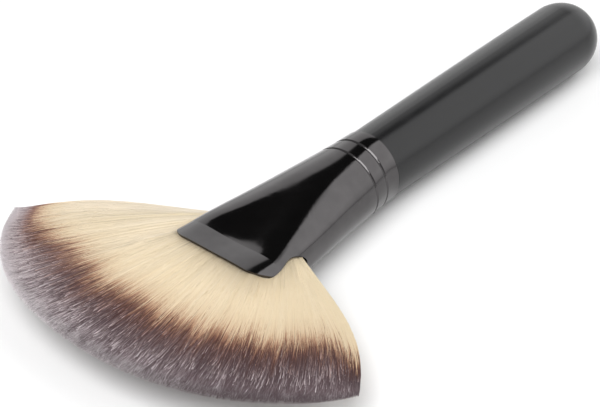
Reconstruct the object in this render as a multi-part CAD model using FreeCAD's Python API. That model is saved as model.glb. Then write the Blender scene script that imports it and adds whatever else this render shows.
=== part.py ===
import FreeCAD, Part
import math
import os

# Fan-shaped face brush: turned handle, pressed metal ferrule, fan of hair and
# the set glue that holds the hair roots. Sizes are in millimetres.
# Stations run along the brush from the shoulder groove, where the ferrule
# starts to flatten: plus towards the butt, minus towards the hair.

# Handle, turned about the brush's axis
butt_station = 88.8
butt_max_station = 79.2
butt_radius = 8.9
butt_fullness = 0.58
handle_mid_station = 40.0
handle_mid_radius = 8.58
handle_root_radius = 8.16
shoulder_chamfer = 0.15
tenon_step_station = 1.6
tenon_end_radius = 6.6
tenon_end_station = -3.0
tenon_chamfer = 0.5

# Ferrule, drawn from thin tube and pressed flat at the mouth
wall = 0.45
band_end_station = 8.1
crimp_station = 3.9
groove_half_width = 0.42
groove_depth = 0.25
# Cross-section of a rolled groove: shares of its half width and of its depth
groove_profile = [(-1.0, -0.2), (-0.5, 0.6), (0.0, 1.0), (0.5, 0.6), (1.0, -0.2)]

# Outer sections of the ferrule: station, half width, half height, squareness
# of the oval (2 is an ellipse), depth and half width of the pressed dish
throat_sections = [
    (9.6, 8.42, 8.42, 2.00, 0.00, 4.0),
    (4.0, 8.55, 8.45, 2.00, 0.00, 4.0),
    (0.0, 9.10, 8.25, 2.00, 0.00, 4.0),
    (-8.0, 10.00, 7.95, 2.10, 0.00, 4.0),
    (-16.0, 11.05, 7.20, 2.30, 0.10, 4.0),
    (-24.0, 12.05, 6.20, 2.80, 0.30, 6.2),
    (-30.0, 12.70, 5.35, 3.50, 0.60, 9.2),
    (-34.0, 13.00, 4.90, 3.90, 0.65, 11.6),
]
lip_section = (-42.0, 13.25, 5.30, 4.20, 0.00, 11.6)
section_points = 30

# Mouth of the ferrule: a straight lip with rounded corners, and an arch cut
# through each narrow side that lets the hair spread
lip_station = -40.0
lip_half_width = 12.8
lip_corner_radius = 4.8
arch_sides = [
    (-25.8, 0.0),
    (-26.5, 1.55),
    (-28.0, 2.75),
    (-29.5, 3.35),
    (-31.0, 3.45),
    (-32.5, 3.15),
    (-34.0, 2.85),
    (-36.0, 2.75),
    (-48.0, 2.75),
]

# Clearances between the pieces
tenon_gap = 0.06
plug_gap = 0.04
hair_gap = 0.12

# Glue plug, set round the hair roots
plug_front_station = -13.0

# Hair fan: where its side edges leave the arches, the point that pulls them
# into a bow, its corners and its farthest tip
fan_start = (-24.3, 7.5)
fan_root = (-26.0, 12.2)
fan_side_pull = (-31.6, 30.5)
fan_corner = (-50.2, 46.0)
fan_tip_station = -72.7
edge_fullness = 2.85

# Half thickness of the fan at its start and along its side edge, then at a
# ring past the tips
fan_halves = (4.0, 3.7, 3.6, 2.95, 2.95, 2.4)
fan_past_half = 0.45
fan_past = 1.75
collar_ring = (-48.0, 17.0, 2.35, 2.6, 0.0, 4.0)
collar_overlap = 1.2
keep_out_start = -21.0

# Clumps of hair: pleats in both faces that end in teeth along the outer edge
clump_count = 30
clump_depth = 0.16
tooth_depth = 0.8


def oval_ring(section, inset):
    # Closed ring of the tube at one station: a rounded oval whose two broad
    # faces carry a shallow dish.
    station, half_width, half_height, squareness, dish, dish_half = section
    points = []
    for i in range(section_points):
        turn = 2.0 * math.pi * i / section_points
        c = math.cos(turn)
        s = math.sin(turn)
        y = (half_width - inset) * math.copysign(abs(c) ** (2.0 / squareness), c)
        z = (half_height - inset) * math.copysign(abs(s) ** (2.0 / squareness), s)
        reach = min(1.0, abs(y) / dish_half)
        if abs(s) > 0.01:
            z -= math.copysign(dish * (1.0 - reach ** 2) ** 2, s)
        points.append(FreeCAD.Vector(station, y, z))
    curve = Part.BSplineCurve()
    curve.interpolate(Points=points, PeriodicFlag=True)
    return Part.Wire(curve.toShape())


def section_at(station):
    # Section of the tube at any station, between the two nearest ones given.
    sections = throat_sections + [lip_section]
    for rear, front in zip(sections, sections[1:]):
        if station >= front[0]:
            break
    share = (station - rear[0]) / (front[0] - rear[0])
    return [a + share * (b - a) for a, b in zip(rear, front)]


def tube_body(inset):
    # The pressed throat, smooth from end to end, then the straight lip that
    # starts from the throat's own end ring at a crease.
    throat = Part.makeLoft([oval_ring(s, inset) for s in throat_sections], True, False)
    crease = min(throat.Faces, key=lambda face: face.CenterOfMass.x).OuterWire
    lip = Part.makeLoft([crease, oval_ring(lip_section, inset)], True, True)
    return throat.fuse(lip)


def slab(start, end):
    # Block that keeps what lies between two stations.
    reach = 120.0
    block = Part.makeBox(end - start, 2.0 * reach, 2.0 * reach)
    block.translate(FreeCAD.Vector(start, -reach, -reach))
    return block


def arch_slot(grow):
    # Slot through both narrow sides: a round end, then a waist at the lip.
    upper = [FreeCAD.Vector(x, 0, half + grow) for x, half in arch_sides[1:]]
    lower = [FreeCAD.Vector(v.x, 0, -v.z) for v in reversed(upper)]
    end = FreeCAD.Vector(arch_sides[0][0] + grow, 0, 0)
    curve = Part.BSplineCurve()
    curve.interpolate(lower + [end] + upper)
    front = Part.LineSegment(upper[-1], lower[0])
    face = Part.Face(Part.Wire([curve.toShape(), front.toShape()]))
    face.translate(FreeCAD.Vector(0, -30, 0))
    return face.extrude(FreeCAD.Vector(0, 60, 0))


def lip_plan():
    # Plan outline that squares the mouth off and rounds its corners.
    back = 20.0
    block = Part.makeBox(back - lip_station, 2.0 * lip_half_width, 40.0)
    block.translate(FreeCAD.Vector(lip_station, -lip_half_width, -20.0))
    corners = [e for e in block.Edges if is_front_upright(e, lip_station)]
    rounded = block.makeFillet(lip_corner_radius, corners)
    sides = slab(lip_station + lip_corner_radius, back)
    return rounded.fuse(sides)


def is_front_upright(edge, station):
    a = edge.Vertexes[0].Point
    b = edge.Vertexes[-1].Point
    return abs(a.x - station) < 0.01 and abs(b.x - station) < 0.01 and abs(a.z - b.z) > 1.0


def groove_cutter(station):
    # What a rolled groove takes out of the tube: a slab less a smooth waist.
    rings = []
    for across, deep in groove_profile:
        section = section_at(station + across * groove_half_width)
        rings.append(oval_ring(section, deep * groove_depth))
    waist = Part.makeLoft(rings, True, False)
    return slab(station - groove_half_width, station + groove_half_width).cut(waist)


def make_ferrule():
    tube = tube_body(0.0).cut(tube_body(wall))
    tube = tube.common(slab(-60.0, band_end_station))
    tube = tube.cut(arch_slot(0.0)).common(lip_plan())
    for station in (0.0, crimp_station):
        tube = tube.cut(groove_cutter(station))
    return tube.Solids[0]


def make_handle():
    shoulder = band_end_station + tenon_gap
    tenon_radius = throat_sections[0][1] - wall - tenon_gap
    butt = FreeCAD.Vector(butt_station, 0, 0)
    widest = FreeCAD.Vector(butt_max_station, 0, butt_radius)
    root = FreeCAD.Vector(shoulder + shoulder_chamfer, 0, handle_root_radius)
    middle = FreeCAD.Vector(handle_mid_station, 0, handle_mid_radius)
    side = Part.BSplineCurve()
    side.interpolate(
        Points=[widest, middle, root],
        InitialTangent=FreeCAD.Vector(-1, 0, 0),
        FinalTangent=FreeCAD.Vector(-1, 0, -0.015),
    )
    dome = Part.BezierCurve()
    dome_reach = butt_fullness * (butt_station - butt_max_station)
    dome.setPoles(
        [
            butt,
            FreeCAD.Vector(butt_station, 0, butt_fullness * butt_radius),
            FreeCAD.Vector(butt_max_station + dome_reach, 0, butt_radius),
            widest,
        ]
    )
    corners = [
        (shoulder, handle_root_radius - shoulder_chamfer),
        (shoulder, tenon_radius),
        (tenon_step_station + tenon_chamfer, tenon_radius),
        (tenon_step_station, tenon_radius - tenon_chamfer),
        (tenon_step_station, tenon_end_radius),
        (tenon_end_station + tenon_chamfer, tenon_end_radius),
        (tenon_end_station, tenon_end_radius - tenon_chamfer),
        (tenon_end_station, 0.0),
    ]
    tenon = Part.makePolygon([root] + [FreeCAD.Vector(x, 0, r) for x, r in corners] + [butt])
    outline = Part.Wire([dome.toShape(), side.toShape()] + tenon.Edges)
    return Part.Face(outline).revolve(FreeCAD.Vector(0, 0, 0), FreeCAD.Vector(1, 0, 0), 360)


def make_glue_plug():
    core = tube_body(wall + plug_gap)
    return core.common(slab(plug_front_station, tenon_end_station - plug_gap)).Solids[0]


def side_edge(t):
    # Station and half width of the fan along its bowed side edge. Past the
    # corner the edge runs on straight.
    x = []
    for root, pull, corner in zip(fan_root, fan_side_pull, fan_corner):
        if t > 1.0:
            x.append(corner + 2.0 * (t - 1.0) * (corner - pull))
        else:
            x.append((1 - t) ** 2 * root + 2 * t * (1 - t) * pull + t ** 2 * corner)
    return x


def fan_stations():
    # Station, half width, half thickness and pleat depth of each fan ring.
    stations = [(fan_start[0], fan_start[1], fan_halves[0], 0.0)]
    for i, half in enumerate(fan_halves[1:]):
        t = i / 4.0
        x, width = side_edge(t)
        stations.append((x, width, half, clump_depth * t))
    x, width = side_edge(fan_past)
    stations.append((x, width, fan_past_half, clump_depth))
    return stations


def clump_shares():
    # Where the pleats lie across the fan, from one side edge to the other:
    # uneven, and closer together towards the sides.
    steps = 2 * clump_count
    turns = [i + 0.3 * math.sin(2.4 * i) for i in range(steps + 1)]
    turns[0] = 0.0
    turns[-1] = steps
    return [math.cos(math.pi * turn / steps) for turn in turns]


def fan_ring(station, half_width, half_thickness, depth):
    # Lens-shaped ring across the fan, pleated by the clumps of hair.
    shares = clump_shares()
    upper = []
    lower = []
    for i, u in enumerate(shares):
        lens = math.sqrt(max(0.0, 1.0 - u * u))
        z = (half_thickness + (depth if i % 2 else -depth)) * lens
        upper.append(FreeCAD.Vector(station, half_width * u, z))
        lower.append(FreeCAD.Vector(station, half_width * u, -z))
    return Part.makePolygon(upper + lower[-2::-1])


def fan_body():
    return Part.makeLoft([fan_ring(*s) for s in fan_stations()], True, True)


def width_at(x):
    stations = fan_stations()
    for near, far in zip(stations, stations[1:]):
        if x >= far[0]:
            share = (x - near[0]) / (far[0] - near[0])
            return near[1] + share * (far[1] - near[1])
    return stations[-1][1]


def tip_of(share):
    # Point on the outer edge where the hair at this share of the width ends.
    near, far = fan_corner[0], fan_tip_station
    for _ in range(30):
        x = (near + far) / 2.0
        reach = abs(share) * width_at(x) / fan_corner[1]
        edge = fan_corner[0] - (fan_corner[0] - fan_tip_station) * (1.0 - min(1.0, reach) ** edge_fullness)
        if x > edge:
            near = x
        else:
            far = x
    return x, share * width_at(x)


def fan_plan():
    # Plan outline of the hair tips: every clump ends in a tooth.
    points = [FreeCAD.Vector(10.0, 90.0, -20.0)]
    for i, share in enumerate(clump_shares()):
        x, y = tip_of(share)
        notch = 0.0 if i % 2 else tooth_depth * (0.75 + 0.25 * math.sin(5.1 * i))
        points.append(FreeCAD.Vector(x + notch, y, -20.0))
    points.append(FreeCAD.Vector(10.0, -90.0, -20.0))
    outline = Part.makePolygon(points + [points[0]])
    return Part.Face(outline).extrude(FreeCAD.Vector(0, 0, 40.0))


def ferrule_keep_out():
    # What the spread hair stays clear of: the mouth's metal and its inside.
    stations = [keep_out_start - i * (keep_out_start - lip_station + hair_gap) / 4.0 for i in range(5)]
    rings = [oval_ring(section_at(x), -hair_gap) for x in stations]
    return Part.makeLoft(rings, True, True).cut(arch_slot(-hair_gap))


def make_bristles():
    spread = fan_body().common(fan_plan()).cut(ferrule_keep_out())
    bundle = tube_body(wall + hair_gap)
    bundle = bundle.common(slab(lip_station - hair_gap, plug_front_station - plug_gap))
    mouth = oval_ring(section_at(lip_station + collar_overlap), wall + 2.0 * hair_gap)
    collar = Part.makeLoft([mouth, oval_ring(collar_ring, 0.0)], True, True)
    hair = spread.fuse([bundle, collar])
    return max(hair.Solids, key=lambda solid: solid.Volume)


def place(shape):
    # Put the brush over the origin, lying on its widest part.
    middle = (butt_station + fan_tip_station) / 2.0
    shape.translate(FreeCAD.Vector(-middle, 0, butt_radius))
    return shape


os.makedirs("parts", exist_ok=True)
pieces = {
    "handle": make_handle(),
    "ferrule": make_ferrule(),
    "glue_plug": make_glue_plug(),
    "bristles": make_bristles(),
}
for name, shape in pieces.items():
    placed = place(shape)
    print(name, placed.ShapeType, len(placed.Solids), placed.isValid(), round(placed.Volume, 1))
    placed.exportStep("parts/" + name + ".step")
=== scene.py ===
import math
import random

import bmesh
import bpy
from mathutils import Matrix, Vector, noise


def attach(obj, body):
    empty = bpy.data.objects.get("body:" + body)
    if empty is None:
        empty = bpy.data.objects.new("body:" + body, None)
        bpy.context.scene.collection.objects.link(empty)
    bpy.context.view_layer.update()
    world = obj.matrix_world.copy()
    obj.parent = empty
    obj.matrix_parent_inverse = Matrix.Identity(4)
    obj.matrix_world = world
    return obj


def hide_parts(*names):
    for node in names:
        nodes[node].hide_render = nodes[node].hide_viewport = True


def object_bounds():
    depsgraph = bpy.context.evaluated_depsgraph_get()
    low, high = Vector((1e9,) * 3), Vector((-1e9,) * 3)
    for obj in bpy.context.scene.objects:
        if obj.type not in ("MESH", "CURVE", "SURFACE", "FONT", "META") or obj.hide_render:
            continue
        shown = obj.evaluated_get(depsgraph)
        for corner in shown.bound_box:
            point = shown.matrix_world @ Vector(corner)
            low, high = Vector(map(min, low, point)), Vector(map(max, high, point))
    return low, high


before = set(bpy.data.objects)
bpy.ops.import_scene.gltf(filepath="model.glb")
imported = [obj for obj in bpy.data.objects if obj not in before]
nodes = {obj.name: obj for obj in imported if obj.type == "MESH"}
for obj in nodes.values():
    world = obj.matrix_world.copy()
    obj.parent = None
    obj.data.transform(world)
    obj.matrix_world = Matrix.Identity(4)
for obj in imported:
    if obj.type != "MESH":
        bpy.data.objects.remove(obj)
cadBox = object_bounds()

millimetre = 0.001
# Stations run along the brush from the shoulder groove of the ferrule, plus
# towards the butt, and heights count from the brush's long axis.
grooveX = 0.5 * (cadBox[0][0] + cadBox[1][0]) - 8.05 * millimetre
axisZ = 8.9 * millimetre


def rowPoint(station, y, z):
    return Vector((grooveX + station * millimetre, y * millimetre, axisZ + z * millimetre))


# Node helpers


def newMaterial(name):
    material = bpy.data.materials.new(name)
    material.use_nodes = True
    tree = material.node_tree
    tree.nodes.clear()
    output = tree.nodes.new("ShaderNodeOutputMaterial")
    shader = tree.nodes.new("ShaderNodeBsdfPrincipled")
    tree.links.new(shader.outputs["BSDF"], output.inputs["Surface"])
    return material, tree, shader


def addNode(tree, kind, values=None, **settings):
    node = tree.nodes.new(kind)
    for key, value in settings.items():
        setattr(node, key, value)
    setInputs(node, values or {})
    return node


def setInputs(node, values):
    for key, value in values.items():
        node.inputs[key].default_value = value


def feed(tree, socket, value):
    # Link a socket to another node's output, or write a number or a colour on it.
    if isinstance(value, (int, float)):
        socket.default_value = value
    elif isinstance(value, tuple):
        socket.default_value = (*value, 1.0)
    else:
        tree.links.new(value, socket)


def mathNode(tree, operation, *values):
    node = addNode(tree, "ShaderNodeMath", operation=operation)
    for socket, value in zip(node.inputs, values):
        feed(tree, socket, value)
    return node.outputs[0]


def rampNode(tree, factor, stops):
    node = addNode(tree, "ShaderNodeValToRGB")
    elements = node.color_ramp.elements
    while len(elements) < len(stops):
        elements.new(0.5)
    for element, (position, colour) in zip(elements, stops):
        element.position = position
        element.color = (*colour, 1.0)
    tree.links.new(factor, node.inputs["Fac"])
    return node.outputs["Color"]


def mixColour(tree, factor, first, second):
    node = addNode(tree, "ShaderNodeMix", data_type="RGBA")
    for index, value in ((0, factor), (6, first), (7, second)):
        feed(tree, node.inputs[index], value)
    return node.outputs[2]


# Studio

studio = {
    "lens": 98.22,
    "cameraPlace": (-0.224316, -0.188760, 0.206991),
    "elevation": 35.265,
    "azimuth": -46.939,
    "roll": -1.945,
    "floorColour": (0.91, 0.91, 0.91, 1.0),
    "floorSize": 3.0,
    "lampTowards": (-0.6, -0.3, 1.0),
    "lampTarget": (0.0, 0.0, 0.01),
    "lampDistance": 0.9,
    "lampSize": 0.7,
    "lampPower": 7.4,
    # Brightness of the surroundings by height, 0 straight down, 0.5 level and 1
    # straight up, on the side by the viewer's right, on the far side and behind
    "nearWall": [(0.0, 0.8), (0.5, 0.8), (0.56, 1.35), (0.66, 1.65), (0.91, 1.6), (0.94, 0.1), (1.0, 0.05)],
    "farWall": [(0.0, 0.8), (0.5, 1.0), (0.62, 1.35), (0.80, 1.05), (0.825, 0.9), (0.84, 0.05), (1.0, 0.04)],
    "behind": [(0.0, 0.8), (0.5, 0.8), (0.6, 0.5), (1.0, 0.4)],
    # Shares of the far side and of the part behind, by azimuth from -180 to 180 degrees
    "farShare": [(0.0, 0.0), (0.508, 0.0), (0.525, 1.0), (1.0, 1.0)],
    "behindShare": [(0.0, 1.0), (0.25, 1.0), (0.30, 0.0), (0.70, 0.0), (0.75, 1.0), (1.0, 1.0)],
}


def makeCamera():
    data = bpy.data.cameras.new("photoCamera")
    data.lens = studio["lens"]
    data.sensor_width = 36.0
    data.clip_start = 0.01
    camera = bpy.data.objects.new("photoCamera", data)
    elevation = math.radians(studio["elevation"])
    azimuth = math.radians(studio["azimuth"])
    roll = math.radians(studio["roll"])
    back = Vector((
        math.sin(azimuth) * math.cos(elevation),
        -math.cos(azimuth) * math.cos(elevation),
        math.sin(elevation),
    ))
    right = (-back).cross(Vector((0, 0, 1))).normalized()
    up = right.cross(-back)
    turnedRight = math.cos(roll) * right + math.sin(roll) * up
    turnedUp = math.cos(roll) * up - math.sin(roll) * right
    turn = Matrix((turnedRight, turnedUp, back)).transposed().to_4x4()
    camera.matrix_world = Matrix.Translation(studio["cameraPlace"]) @ turn
    bpy.context.collection.objects.link(camera)
    bpy.context.scene.camera = camera


def makeLamp():
    # A high soft square lamp that looks at the middle of the brush.
    data = bpy.data.lights.new("highSoftbox", "AREA")
    data.shape = "SQUARE"
    data.size = studio["lampSize"]
    data.energy = studio["lampPower"]
    lamp = bpy.data.objects.new("highSoftbox", data)
    direction = Vector(studio["lampTowards"]).normalized()
    lamp.location = Vector(studio["lampTarget"]) + direction * studio["lampDistance"]
    lamp.rotation_euler = direction.to_track_quat("Z", "Y").to_euler()
    bpy.context.collection.objects.link(lamp)


def makeFloor():
    bm = bmesh.new()
    bmesh.ops.create_grid(bm, x_segments=1, y_segments=1, size=studio["floorSize"])
    mesh = bpy.data.meshes.new("floor")
    bm.to_mesh(mesh)
    bm.free()
    floor = bpy.data.objects.new("floor", mesh)
    bpy.context.collection.objects.link(floor)
    material, _, shader = newMaterial("paleFloor")
    setInputs(shader, {"Base Color": studio["floorColour"], "Roughness": 0.9, "Specular IOR Level": 0.0})
    mesh.materials.append(material)


def greyRamp(tree, factor, stops):
    return rampNode(tree, factor, [(place, (value, value, value)) for place, value in stops])


def makeWorld():
    # Two broad bright walls and a dark card above them, as a function of the direction.
    world = bpy.data.worlds.new("studioWorld")
    world.use_nodes = True
    bpy.context.scene.world = world
    tree = world.node_tree
    background = tree.nodes["Background"]
    coordinates = addNode(tree, "ShaderNodeTexCoord")
    parts = addNode(tree, "ShaderNodeSeparateXYZ")
    tree.links.new(coordinates.outputs["Generated"], parts.inputs[0])
    height = mathNode(tree, "MULTIPLY_ADD", parts.outputs["Z"], 0.5, 0.5)
    azimuth = mathNode(tree, "ARCTAN2", parts.outputs["Y"], parts.outputs["X"])
    azimuth = mathNode(tree, "MULTIPLY_ADD", azimuth, 0.5 / math.pi, 0.5)
    nearWall = greyRamp(tree, height, studio["nearWall"])
    farWall = greyRamp(tree, height, studio["farWall"])
    behind = greyRamp(tree, height, studio["behind"])
    farShare = greyRamp(tree, azimuth, studio["farShare"])
    behindShare = greyRamp(tree, azimuth, studio["behindShare"])
    walls = mixColour(tree, farShare, nearWall, farWall)
    glow = mixColour(tree, behindShare, walls, behind)
    tree.links.new(glow, background.inputs["Color"])
    background.inputs["Strength"].default_value = 1.0


makeCamera()
makeFloor()
makeWorld()
makeLamp()
bpy.context.scene.view_settings.view_transform = "Standard"
print("studio ready")


# Finishes of the rigid pieces


def makeMottleGroup():
    # Fine mottling of a finish, as a colour, a roughness and a mask.
    group = bpy.data.node_groups.new("fineMottle", "ShaderNodeTree")
    sockets = (
        ("INPUT", "Vector", "Vector"),
        ("INPUT", "Scale", "Float"),
        ("INPUT", "Detail", "Float"),
        ("INPUT", "Dark Colour", "Color"),
        ("INPUT", "Light Colour", "Color"),
        ("INPUT", "Least Roughness", "Float"),
        ("INPUT", "Roughness Spread", "Float"),
        ("OUTPUT", "Colour", "Color"),
        ("OUTPUT", "Roughness", "Float"),
        ("OUTPUT", "Mask", "Float"),
    )
    for way, name, kind in sockets:
        group.interface.new_socket(name=name, in_out=way, socket_type="NodeSocket" + kind)
    given = group.nodes.new("NodeGroupInput").outputs
    result = group.nodes.new("NodeGroupOutput").inputs
    speckle = addNode(group, "ShaderNodeTexNoise")
    for name in ("Vector", "Scale", "Detail"):
        group.links.new(given[name], speckle.inputs[name])
    mask = speckle.outputs["Fac"]
    share = addNode(group, "ShaderNodeMapRange", {"From Min": 0.3, "From Max": 0.7})
    group.links.new(mask, share.inputs["Value"])
    colour = mixColour(group, share.outputs["Result"], given["Dark Colour"], given["Light Colour"])
    rough = mathNode(group, "MULTIPLY_ADD", mask, given["Roughness Spread"], given["Least Roughness"])
    group.links.new(colour, result["Colour"])
    group.links.new(rough, result["Roughness"])
    group.links.new(mask, result["Mask"])
    return group


mottleGroup = makeMottleGroup()


def addMottle(tree, shader, look):
    # The group on Object coordinates, with a finish's own values, into its Base Color.
    place = addNode(tree, "ShaderNodeTexCoord").outputs["Object"]
    stretch = addNode(tree, "ShaderNodeMapping", {"Scale": look["stretch"]})
    tree.links.new(place, stretch.inputs["Vector"])
    mottle = addNode(tree, "ShaderNodeGroup", node_tree=mottleGroup)
    setInputs(mottle, {
        "Scale": look["scale"],
        "Detail": look["detail"],
        "Dark Colour": (*look["darkColour"], 1.0),
        "Light Colour": (*look["lightColour"], 1.0),
        "Least Roughness": look["roughness"],
        "Roughness Spread": look["roughnessSpread"],
    })
    tree.links.new(stretch.outputs[0], mottle.inputs["Vector"])
    tree.links.new(mottle.outputs["Colour"], shader.inputs["Base Color"])
    return mottle.outputs


def paint(node, material):
    node.data.materials.clear()
    node.data.materials.append(material)


# Handle: matt black lacquer over turned wood

handleLook = {
    "darkColour": (0.00425, 0.00425, 0.004675),
    "lightColour": (0.006, 0.006, 0.0066),
    "roughness": 0.2,
    "roughnessSpread": 0.1,
    "specular": 0.42,
    "scale": 900.0,
    "detail": 3.0,
    "stretch": (0.25, 1.0, 1.0),  # the grain runs along the handle
    "bump": {"Strength": 0.06, "Distance": 0.0001},
}


def lacquerMaterial():
    material, tree, shader = newMaterial("mattLacquer")
    mottle = addMottle(tree, shader, handleLook)
    tree.links.new(mottle["Roughness"], shader.inputs["Roughness"])
    setInputs(shader, {"Specular IOR Level": handleLook["specular"]})
    bump = addNode(tree, "ShaderNodeBump", handleLook["bump"])
    tree.links.new(mottle["Mask"], bump.inputs["Height"])
    tree.links.new(bump.outputs[0], shader.inputs["Normal"])
    return material


# Ferrule: high-gloss black coating on metal

ferruleLook = {
    "darkColour": (0.084, 0.080, 0.081),
    "lightColour": (0.0966, 0.092, 0.09315),
    "roughness": 0.07,
    "roughnessSpread": 0.04,
    "scale": 300.0,
    "detail": 2.0,
    "stretch": (1.0, 1.0, 1.0),
}


def glossMaterial():
    material, tree, shader = newMaterial("glossBlack")
    mottle = addMottle(tree, shader, ferruleLook)
    tree.links.new(mottle["Roughness"], shader.inputs["Roughness"])
    setInputs(shader, {"Metallic": 1.0})
    return material


# Glue plug: set glue, which isn't seen

glueLook = {
    "darkColour": (0.55, 0.47, 0.30),
    "lightColour": (0.68, 0.60, 0.42),
    "roughness": 0.35,
    "roughnessSpread": 0.0,
    "scale": 400.0,
    "detail": 2.0,
    "stretch": (1.0, 1.0, 1.0),
}


def glueMaterial():
    material, tree, shader = newMaterial("setGlue")
    addMottle(tree, shader, glueLook)
    setInputs(shader, {"Roughness": glueLook["roughness"]})
    return material


paint(nodes["handle"], lacquerMaterial())
paint(nodes["ferrule"], glossMaterial())
paint(nodes["glue_plug"], glueMaterial())
print("handle, ferrule and glue plug finished")


# Hair: a fan of long tapered strands over a packed core

# Distances are in millimetres from the point that all strands point away from.
# Angles are in degrees from the middle of the fan, plus towards its far side.
fan = {
    "originStation": -14.0,
    "halfAngle": 52.1,
    "length": 58.4,
    "longSide": 4.0,              # how much longer the far side is, where and how widely
    "longSideAt": 38.0,
    "longSideSpread": 24.0,
    "farCorner": (0.6, 8),        # what rounds off each corner: depth and power
    "nearCorner": (0.6, 16),
    "lipDistance": 26.0,          # where the strands pass the lip and the arches beside it
    "archHalfWidth": 12.9,
    "rootDistance": 23.5,         # where they start inside the ferrule
    "rootHalfWidth": 10.0,
    "smallestAngle": 1.0,         # the middle strands count as this far from the middle
    "bow": 3.7,                   # how far a side edge bows outwards, and where
    "bowFrom": 22.0,
    "bowLength": 36.0,
    "tuck": 10.3,                 # how far the arch holds it in, and where that fades
    "tuckAt": 17.0,
    "tuckFade": 6.0,
    "mouthHalfHeight": 4.5,
    "cornerDrop": 1.7,            # what the mouth loses in height between these angles
    "cornerAngles": (20.0, 31.0),
    "archRise": 0.45,             # what it gains in the arch
    "archAngle": 38.0,
    "archSpread": 5.0,
    "tipHalfHeight": 1.15,
    "taperPower": 1.6,            # the height shrinks by this power towards the tips
    "lensMargin": 3.0,            # how far past the side edges the lens of the tips would close
    "edgeThinning": 0.5,          # share that the side edges lose, by angle and along the hair
    "edgeAngles": (42.0, 52.0),
    "edgeStretch": (-0.15, 0.35),
}


def smoothShare(value, low, high):
    share = min(1.0, max(0.0, (value - low) / (high - low)))
    return share * share * (3.0 - 2.0 * share)


def boxDistance(angle, front, side):
    # How far a strand goes until it passes the front or the side of a box.
    turn = math.radians(max(fan["smallestAngle"], abs(angle)))
    return min(front / math.cos(turn), side / math.sin(turn))


def tipDistance(angle):
    far = math.exp(-((angle - fan["longSideAt"]) / fan["longSideSpread"]) ** 2)
    depth, power = fan["farCorner"] if angle > 0 else fan["nearCorner"]
    corner = depth * (abs(angle) / fan["halfAngle"]) ** power
    return fan["length"] + fan["longSide"] * far - corner


def exitHalfHeight(angle):
    # Half height of the mouth where a strand leaves it.
    size = abs(angle)
    lip = fan["mouthHalfHeight"] - fan["cornerDrop"] * smoothShare(size, *fan["cornerAngles"])
    arch = fan["archRise"] * math.exp(-((size - fan["archAngle"]) / fan["archSpread"]) ** 2)
    return lip + arch


def bentAngle(angle, distance):
    # The outer strands turn outwards as they leave the arch and bow a little.
    share = (abs(angle) / fan["halfAngle"]) ** 2
    along = min(1.0, max(0.0, (distance - fan["bowFrom"]) / fan["bowLength"]))
    bow = fan["bow"] * math.sin(math.pi * along)
    tuck = fan["tuck"] * math.exp(-(distance - fan["tuckAt"]) / fan["tuckFade"])
    return angle + math.copysign(share, angle) * (bow - tuck)


def halfHeightAt(angle, distance):
    # Half height of the fan, from the mouth to the lens-shaped tips.
    leave = boxDistance(angle, fan["lipDistance"], fan["archHalfWidth"])
    along = min(1.0, max(0.0, (distance - leave) / (tipDistance(angle) - leave)))
    lens = math.sqrt(1.0 - (angle / (fan["halfAngle"] + fan["lensMargin"])) ** 2)
    tip = fan["tipHalfHeight"] * lens
    edge = smoothShare(abs(angle), *fan["edgeAngles"]) * smoothShare(along, *fan["edgeStretch"])
    thin = 1.0 - fan["edgeThinning"] * edge
    return (tip + (exitHalfHeight(angle) - tip) * (1.0 - along) ** fan["taperPower"]) * thin


def hairPoint(angle, distance, height):
    # Height counts from -1 at the underside of the fan to 1 at its top.
    turn = math.radians(bentAngle(angle, distance))
    station = fan["originStation"] - distance * math.cos(turn)
    return rowPoint(station, distance * math.sin(turn), height * halfHeightAt(angle, distance))


def rootDistance(angle):
    return boxDistance(angle, fan["rootDistance"], fan["rootHalfWidth"])


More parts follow.
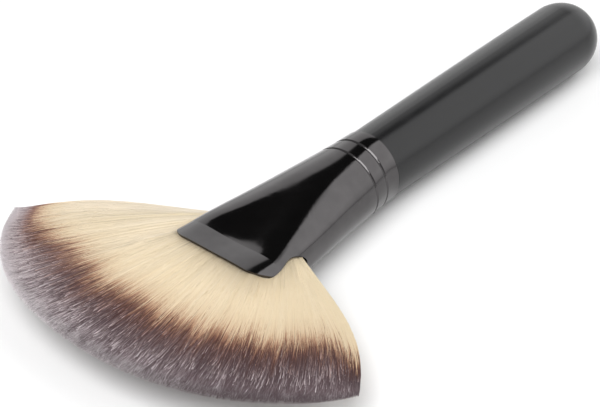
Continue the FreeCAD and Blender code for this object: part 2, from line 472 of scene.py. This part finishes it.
# Colours of the dipped hair. The map holds a strand's shade across, from the dark
# colours to the light ones, and along it the distance from the tips.
dye = {
    "mapLength": 50.0,
    "mapAcross": (0.0, 0.99),
    "mapAlong": (0.002, 0.995),
    # Across, the upper side of each strand is also mapped a little towards the light colours, a small
    # painted lit side.
    "mapSkew": (0.012, 0.01),     # keeps the map of a thin face from shrinking to a line
    # How much nearer the tips the dipped colour ends, and between which angles
    "farEdge": (10.0, 29.0, 51.0),
    "nearEdge": (8.0, 45.0, 54.0),
    "edgeByTuft": 1.6,
    "edgeSpread": 1.6,
    "edgeStretch": (0.0, 7.0),    # the shift grows over this distance from the tips
    # How much paler the strands get, and between which angles: painted light and shade, far side lighter,
    # near side darker, far corner paler
    "farSidePaintedLight": (0.9, 0.0, 40.0),
    "nearSidePaintedShade": (-0.5, 0.0, 35.0),
    "farCorner": (2.0, 44.0, 51.0),
    "shade": 0.105,
    "shadeByPaintedSideLight": 0.15,
    "shadeByTuft": 0.12,
    "shadeSpread": 0.08,
    "shadeRange": (0.01, 0.45),
    "inkyShade": -0.2,
    # What is added at the very tip
    "tipPale": (0.05, 0.8),
    "boldPale": (0.55, 0.9),
    "boldPaleByPaintedSideLight": 0.4,
    "paleByLock": 0.6,
    "inkyPale": -0.38,
    "leastPale": -0.05,
    # Colours by the distance from the tips, of the darkest and of the lightest hair
    "dark": [
        (0.0, (0.15, 0.11, 0.12)),
        (3.0, (0.11, 0.072, 0.08)),
        (5.5, (0.064, 0.037, 0.042)),
        (9.0, (0.058, 0.026, 0.027)),
        (12.4, (0.050, 0.017, 0.015)),
        (13.8, (0.15, 0.055, 0.036)),
        (15.3, (0.42, 0.23, 0.135)),
        (17.2, (0.64, 0.50, 0.34)),
        (22.0, (0.74, 0.615, 0.425)),
        (50.0, (0.75, 0.64, 0.445)),
    ],
    "light": [
        (0.0, (0.92, 0.87, 0.89)),
        (2.5, (0.85, 0.765, 0.785)),
        (7.0, (0.74, 0.62, 0.62)),
        (9.5, (0.62, 0.44, 0.41)),
        (12.0, (0.50, 0.28, 0.21)),
        (14.6, (0.72, 0.52, 0.38)),
        (17.4, (0.81, 0.69, 0.50)),
        (22.0, (0.85, 0.765, 0.66)),
        (50.0, (0.86, 0.80, 0.76)),
    ],
    "roughness": 0.5,
    "specular": 0.25,
}


def grown(value, amount, low, high):
    return amount * smoothShare(value, low, high)


def paleEdge(angle):
    # The dipped colour ends nearer the tips towards both side edges.
    return grown(angle, *dye["farEdge"]) + grown(-angle, *dye["nearEdge"])


# Painted light and shade across the fan: strands drawn lighter towards the far side, darker towards the near
# side, and paler still at the far corner.
def paintedSideLight(angle):
    return grown(angle, *dye["farSidePaintedLight"]) + grown(-angle, *dye["nearSidePaintedShade"]) + grown(angle, *dye["farCorner"])


def mapPlace(shade, distance):
    least, most = dye["mapAcross"]
    first, last = dye["mapAlong"]
    return (min(most, max(least, shade)), min(last, max(first, distance / dye["mapLength"])))


def hairMaterial():
    material, tree, shader = newMaterial("dippedHair")
    place = addNode(tree, "ShaderNodeUVMap", uv_map="OFBake")
    parts = addNode(tree, "ShaderNodeSeparateXYZ")
    tree.links.new(place.outputs["UV"], parts.inputs[0])
    along = parts.outputs["Y"]
    dark = rampNode(tree, along, [(reach / dye["mapLength"], colour) for reach, colour in dye["dark"]])
    light = rampNode(tree, along, [(reach / dye["mapLength"], colour) for reach, colour in dye["light"]])
    colour = mixColour(tree, parts.outputs["X"], dark, light)
    tree.links.new(colour, shader.inputs["Base Color"])
    setInputs(shader, {"Roughness": dye["roughness"], "Specular IOR Level": dye["specular"]})
    return material


def finishHair(bm, name, material):
    mesh = bpy.data.meshes.new(name)
    bm.to_mesh(mesh)
    bm.free()
    mesh.materials.append(material)
    piece = bpy.data.objects.new(name, mesh)
    bpy.context.collection.objects.link(piece)
    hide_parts("bristles")
    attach(piece, "root")


# Strands. Bold ones end early, pale and blunt, and inky ones are dark. A random
# number from 0 to 1 says which of them a strand is.
strands = {
    "radius": 0.066,
    "radiusShare": (0.75, 1.25),
    "tipRadius": 0.012,
    "boldTipRadius": 0.06,
    "thinning": 0.5,              # share of the radius that is lost towards the tip
    "thinningPower": 6,
    "boldSwell": 0.65,            # share that the end is thicker
    "inkySwell": 0.5,
    "swellStretch": (0.65, 0.9),
    "boldBelow": 0.36,
    "inkyAbove": 0.72,
    "partPower": 1.8,             # the parts of a strand get shorter towards its tip
    "tangentStep": 0.02,
    "tipWander": 1.3,             # degrees
    "sway": 0.5,                  # degrees in the middle of a strand and at its tip
    "flick": 0.6,
    "flickPower": 6,
    "twist": (0.0, 2.1),          # radians
    "startShare": (0.8, 1.2),     # of the reach that a piece of hair has
    "innerHeights": (-1.0, 0.9),
    "shortRise": (0.0, 0.04),     # what an early end stands higher than its strand
    "risePower": 3,
    "endGap": 0.05,               # how far before the fan's outline a strand ends
    "endSpread": 0.22,
    "endRounding": 0.8,           # the outline is rounded from the middle to the top by this
    "boldCut": 10.5,
    "shortCut": (0.2, 7.0),
    "rowSpacing": 10.0,           # between the strands before they are laid
    # Random patches: scales over angle and height, and a depth in the noise for each
    "tuft": (0.35, 1.5, 3.0),
    "wideTuft": (0.09, 0.5, 9.0),
    "lock": (2.6, 0.4, 7.0),
    # Pieces: how many strands and in how many parts, how far from the tips they
    # start, the angles, the heights along the strand and at its tip, and the
    # shares of strands that lie anywhere in the thickness and that end early
    "layers": {
        "hair_top": {
            "seed": 11, "count": 7400, "parts": 4, "reach": 99.0, "angles": (0, 47),
            "heights": (0.985, 1.01), "tips": (0.0, 1.0), "inner": 0.0, "short": 0.5,
        },
        "hair_loose": {
            "seed": 14, "count": 7400, "parts": 4, "reach": 99.0, "angles": (0, 47),
            "heights": (0.975, 1.005), "tips": (-0.5, 1.0), "inner": 0.0, "short": 0.3,
        },
        "hair_under": {
            "seed": 12, "count": 7400, "parts": 4, "reach": 99.0, "angles": (0, 47),
            "heights": (-1.01, -0.96), "tips": (-1.0, 0.4), "inner": 0.2, "short": 0.4,
        },
        "hair_sides": {
            "seed": 13, "count": 4400, "parts": 7, "reach": 99.0, "angles": (43, 52.1),
            "heights": (0.95, 1.0), "tips": (-1.0, 1.0), "inner": 0.6, "short": 0.3,
        },
        "hair_tips": {
            "seed": 15, "count": 9000, "parts": 3, "reach": 14.0, "angles": (0, 50),
            "heights": (0.86, 0.98), "tips": (0.3, 1.03), "inner": 0.0, "short": 0.5,
        },
    },
}


def patchNoise(patch, angle, height):
    acrossScale, heightScale, depth = patch
    return noise.noise(Vector((angle * acrossScale, height * heightScale, depth)))


def strandPlan(draw, layer):
    # Random course, thickness and shade of one strand.
    low, high = layer["angles"]
    angle = draw.uniform(low, high) * draw.choice((-1, 1))
    limit = fan["halfAngle"]
    tipAngle = max(-limit, min(limit, angle + draw.gauss(0.0, strands["tipWander"])))
    height = draw.uniform(*layer["heights"])
    if draw.random() < layer["inner"]:
        height = draw.uniform(*strands["innerHeights"])
    short = draw.random() < layer["short"]
    if short:
        tipHeight = height + draw.uniform(*strands["shortRise"])
    else:
        tipHeight = draw.uniform(*layer["tips"])
    cut = strands["endGap"] + abs(draw.gauss(0.0, strands["endSpread"]))
    cut += strands["endRounding"] * abs(tipHeight) ** 3
    kind = draw.random()
    bold = short and kind < strands["boldBelow"]
    inky = kind > strands["inkyAbove"]
    if bold:
        cut += strands["boldCut"] * math.sqrt(draw.random())
    elif short:
        cut += draw.uniform(*strands["shortCut"])
    tuft = patchNoise(strands["tuft"], angle, height)
    wideTuft = patchNoise(strands["wideTuft"], angle, height)
    lock = patchNoise(strands["lock"], tipAngle, cut)
    # side carries the painted light: it lightens the tips and the shade of far-side strands and darkens
    # those of the near side.
    side = paintedSideLight(angle)
    if bold:
        pale = draw.uniform(*dye["boldPale"]) + dye["boldPaleByPaintedSideLight"] * side
    else:
        pale = draw.uniform(*dye["tipPale"]) + side
    shade = dye["shade"] + dye["shadeByPaintedSideLight"] * side + dye["shadeByTuft"] * (tuft + lock)
    shade += draw.gauss(0.0, dye["shadeSpread"])
    darkest, lightest = dye["shadeRange"]
    start = tipDistance(angle) - layer["reach"] * draw.uniform(*strands["startShare"])
    return {
        "root": angle,
        "tip": tipAngle,
        "height": height,
        "tipHeight": tipHeight,
        "cut": cut,
        "start": max(rootDistance(angle), start),
        "radius": strands["radius"] * draw.uniform(*strands["radiusShare"]),
        "swell": strands["boldSwell"] if bold else strands["inkySwell"] if inky else 0.0,
        "point": strands["boldTipRadius"] if bold else strands["tipRadius"],
        "twist": draw.uniform(*strands["twist"]),
        "shift": paleEdge(angle) + dye["edgeByTuft"] * tuft + wideTuft + draw.gauss(0.0, dye["edgeSpread"]),
        "shade": min(lightest, max(darkest, shade + dye["inkyShade"] * inky)),
        "pale": max(dye["leastPale"], pale + dye["paleByLock"] * lock + dye["inkyPale"] * inky),
        "sway": draw.gauss(0.0, strands["sway"]),
        "flick": draw.gauss(0.0, strands["flick"]),
    }


def strandPoint(plan, share):
    # Place of a share of a strand's length, and how far it is from the fan's outline.
    end = tipDistance(plan["tip"]) - plan["cut"]
    distance = plan["start"] + share * (end - plan["start"])
    angle = plan["root"] + (plan["tip"] - plan["root"]) * share
    angle += plan["sway"] * math.sin(math.pi * share) + plan["flick"] * share ** strands["flickPower"]
    angle = max(-fan["halfAngle"], min(fan["halfAngle"], angle))
    height = plan["height"] + (plan["tipHeight"] - plan["height"]) * share ** strands["risePower"]
    return hairPoint(angle, distance, height), tipDistance(angle) - distance


def strandRing(plan, share):
    # Middle of a strand's section, its two directions, and the distance from the tips.
    middle, left = strandPoint(plan, share)
    ahead, _ = strandPoint(plan, min(1.0, share + strands["tangentStep"]))
    behind, _ = strandPoint(plan, max(0.0, share - strands["tangentStep"]))
    along = (ahead - behind).normalized()
    side = along.cross(Vector((0, 0, 1))).normalized()
    return middle, side, side.cross(along), left


def strandRow(parts, count):
    # A row of closed three-sided strands, each standing up from 0 to 1.
    spacing = strands["rowSpacing"]
    bm = bmesh.new()
    bmesh.ops.create_cone(bm, cap_ends=True, segments=3, radius1=1.0, radius2=0.2, depth=1.0)
    bmesh.ops.translate(bm, vec=(0, 0, 0.5), verts=bm.verts)
    sides = [e for e in bm.edges if abs(e.verts[0].co.z - e.verts[1].co.z) > 0.5]
    bmesh.ops.subdivide_edges(bm, edges=sides, cuts=parts - 1)
    made = 1
    while made < count:
        extra = min(made, count - made)
        end = (extra - 0.5) * spacing
        verts = [v for v in bm.verts if v.co.x < end]
        faces = [f for f in bm.faces if f.verts[0].co.x < end]
        copies = bmesh.ops.duplicate(bm, geom=verts + faces)
        copied = [v for v in copies["geom"] if isinstance(v, bmesh.types.BMVert)]
        bmesh.ops.translate(bm, vec=(made * spacing, 0, 0), verts=copied)
        made += extra
    return bm


def layStrands(bm, plans, parts):
    # Bends and thins the strands of a row. Returns what the colour map needs of each vertex.
    shares = [1.0 - (1.0 - i / parts) ** strands["partPower"] for i in range(parts + 1)]
    rings = {}
    marks = {}
    for vert in bm.verts:
        index = round(vert.co.x / strands["rowSpacing"])
        level = round(vert.co.z * parts)
        plan = plans[index]
        share = shares[level]
        if (index, level) not in rings:
            rings[(index, level)] = strandRing(plan, share)
        middle, side, rise, left = rings[(index, level)]
        local = Vector((vert.co.x - index * strands["rowSpacing"], vert.co.y))
        turn = math.atan2(local.y, local.x) + plan["twist"]
        if level == parts:
            width = plan["point"] * millimetre
        else:
            thin = 1.0 - strands["thinning"] * share ** strands["thinningPower"]
            swell = 1.0 + plan["swell"] * smoothShare(share, *strands["swellStretch"])
            width = plan["radius"] * thin * millimetre * swell
        vert.co = middle + width * (math.cos(turn) * side + math.sin(turn) * rise)
        marks[vert] = (plan, left, turn, level)
    return marks


def makeHairLayer(name, layer, material):
    draw = random.Random(layer["seed"])
    plans = [strandPlan(draw, layer) for _ in range(layer["count"])]
    bm = strandRow(layer["parts"], layer["count"])
    mapLayer = bm.loops.layers.uv.new("OFBake")
    marks = layStrands(bm, plans, layer["parts"])
    skewAcross, skewAlong = dye["mapSkew"]
    for face in bm.faces:
        face.smooth = True
        cap = len(face.verts) == 3
        for corner, loop in enumerate(face.loops):
            plan, left, turn, level = marks[loop.vert]
            # The upper side of each strand is mapped a little towards the light colours: a small painted lit
            # side, which also gives the face width on the map.
            shade = plan["shade"] + (skewAcross if math.sin(turn) > 0 else 0.0)
            if level == layer["parts"]:
                shade += plan["pale"]
            distance = left + plan["shift"] * smoothShare(left, *dye["edgeStretch"])
            if cap:
                shade += skewAcross * (corner == 1)
                distance += skewAlong * dye["mapLength"] * (corner == 2)
            loop[mapLayer].uv = mapPlace(shade, distance)
    finishHair(bm, name, material)


# Core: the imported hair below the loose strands, one closed lens

core = {
    "columns": 96,
    "rows": 24,
    "sideGap": 1.5,               # degrees inside the side edges
    "tipGap": 4.5,
    "tipWave": 1.2,
    "tipPatch": (0.6, 1.0, 5.0),
    "rootHeight": 0.84,           # share of the fan's height at the roots
    "heightGain": 0.11,           # what it gains towards the tips
    "rimPower": 8,                # the lens closes by this power, and from the rim on it is shut
    "rim": 0.999,
    "shade": 0.2,
    "paintedLightByAngle": 0.005,
    "shadeWave": 0.1,
    "darkest": 0.02,
    "tuft": (0.35, 1.0, 3.0),
    "mergeDistance": 0.00001,     # metres
}


def makeHairCore(material):
    bm = bmesh.new()
    bmesh.ops.create_grid(bm, x_segments=core["columns"], y_segments=core["rows"], size=1.0)
    mapLayer = bm.loops.layers.uv.new("OFBake")
    shell = bmesh.ops.duplicate(bm, geom=bm.verts[:] + bm.edges[:] + bm.faces[:])
    under = {v for v in shell["geom"] if isinstance(v, bmesh.types.BMVert)}
    bmesh.ops.reverse_faces(bm, faces=[f for f in shell["geom"] if isinstance(f, bmesh.types.BMFace)])
    marks = {}
    for vert in bm.verts:
        across, along = vert.co.x, vert.co.y
        share = 0.5 * (along + 1.0)
        angle = (fan["halfAngle"] - core["sideGap"]) * across
        start = rootDistance(angle)
        wave = patchNoise(core["tipPatch"], angle, 0.0)
        end = tipDistance(angle) - core["tipGap"] - core["tipWave"] * wave
        distance = start + share * (end - start)
        rim = max(abs(across), abs(along))
        if rim > core["rim"]:
            height = 0.0
        else:
            height = core["rootHeight"] + core["heightGain"] * share
            height *= math.sqrt(1.0 - rim ** core["rimPower"])
        marks[vert] = (angle, tipDistance(angle) - distance)
        vert.co = hairPoint(angle, distance, -height if vert in under else height)
    for face in bm.faces:
        face.smooth = True
        for loop in face.loops:
            angle, left = marks[loop.vert]
            wave = patchNoise(core["tuft"], angle, 1.0)
            # The shade grows with the angle: painted light, lighter towards the far side and darker towards
            # the near side.
            shade = core["shade"] + core["paintedLightByAngle"] * angle + core["shadeWave"] * wave
            loop[mapLayer].uv = mapPlace(max(core["darkest"], shade), left + paleEdge(angle) + wave)
    bmesh.ops.remove_doubles(bm, verts=bm.verts, dist=core["mergeDistance"])
    finishHair(bm, "hair_core", material)


dippedHair = hairMaterial()
makeHairCore(dippedHair)
for name, layer in strands["layers"].items():
    makeHairLayer(name, layer, dippedHair)
    print(name, "has", layer["count"], "strands")
